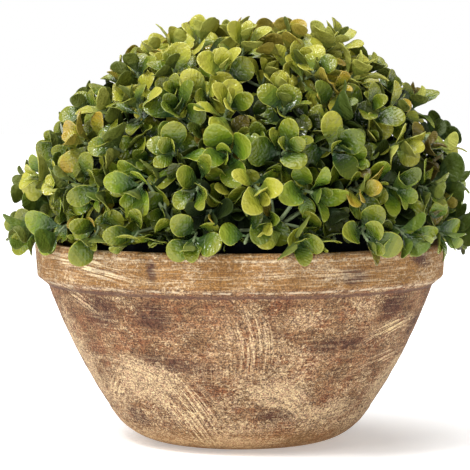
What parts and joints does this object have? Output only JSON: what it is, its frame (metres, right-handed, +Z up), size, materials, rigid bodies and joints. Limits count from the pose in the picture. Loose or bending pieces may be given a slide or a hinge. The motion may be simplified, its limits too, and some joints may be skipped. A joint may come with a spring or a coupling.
{
  "type": "artificial box topiary half ball in a bowl pot",
  "caption": "Artificial box topiary: a clipped half ball of moulded leafy sprigs on a foam dome, in a round tapered bowl pot with a rim band.",
  "frame": {"origin": "centre of the pot's flat underside", "axes": "+Z up out of the pot; the picture's view looks along +Y with +X to its right"},
  "size_m": [0.2365, 0.2349, 0.2125],
  "materials": {
    "pot": "aged clay with a worn cream wash, matt",
    "foam": "dark green florist's foam, matt",
    "stem": "plain turned dowel",
    "crown_leaves": "moulded leaves, satin, yellow-green",
    "upper_leaves": "moulded leaves, satin, yellow-green",
    "middle_leaves": "moulded leaves, satin, mid green",
    "skirt_leaves": "moulded leaves, satin, mid green"
  },
  "bodies": {
    "root": {"pot": "pot", "foam_fill": "foam", "stem": "stem", "foam_dome": "foam", "sprig_crown_01": "crown_leaves", "sprig_upper_01": "upper_leaves", "sprig_upper_02": "upper_leaves", "sprig_upper_03": "upper_leaves", "sprig_upper_04": "upper_leaves", "sprig_upper_05": "upper_leaves", "sprig_upper_06": "upper_leaves", "sprig_middle_01": "middle_leaves", "sprig_middle_02": "middle_leaves", "sprig_middle_03": "middle_leaves", "sprig_middle_04": "middle_leaves", "sprig_middle_05": "middle_leaves", "sprig_middle_06": "middle_leaves", "sprig_middle_07": "middle_leaves", "sprig_middle_08": "middle_leaves", "sprig_middle_09": "middle_leaves", "sprig_middle_10": "middle_leaves", "sprig_skirt_01": "skirt_leaves", "sprig_skirt_02": "skirt_leaves", "sprig_skirt_03": "skirt_leaves", "sprig_skirt_04": "skirt_leaves", "sprig_skirt_05": "skirt_leaves", "sprig_skirt_06": "skirt_leaves", "sprig_skirt_07": "skirt_leaves", "sprig_skirt_08": "skirt_leaves", "sprig_skirt_09": "skirt_leaves", "sprig_skirt_10": "skirt_leaves", "sprig_skirt_11": "skirt_leaves", "sprig_skirt_12": "skirt_leaves"}
  },
  "joints": []
}
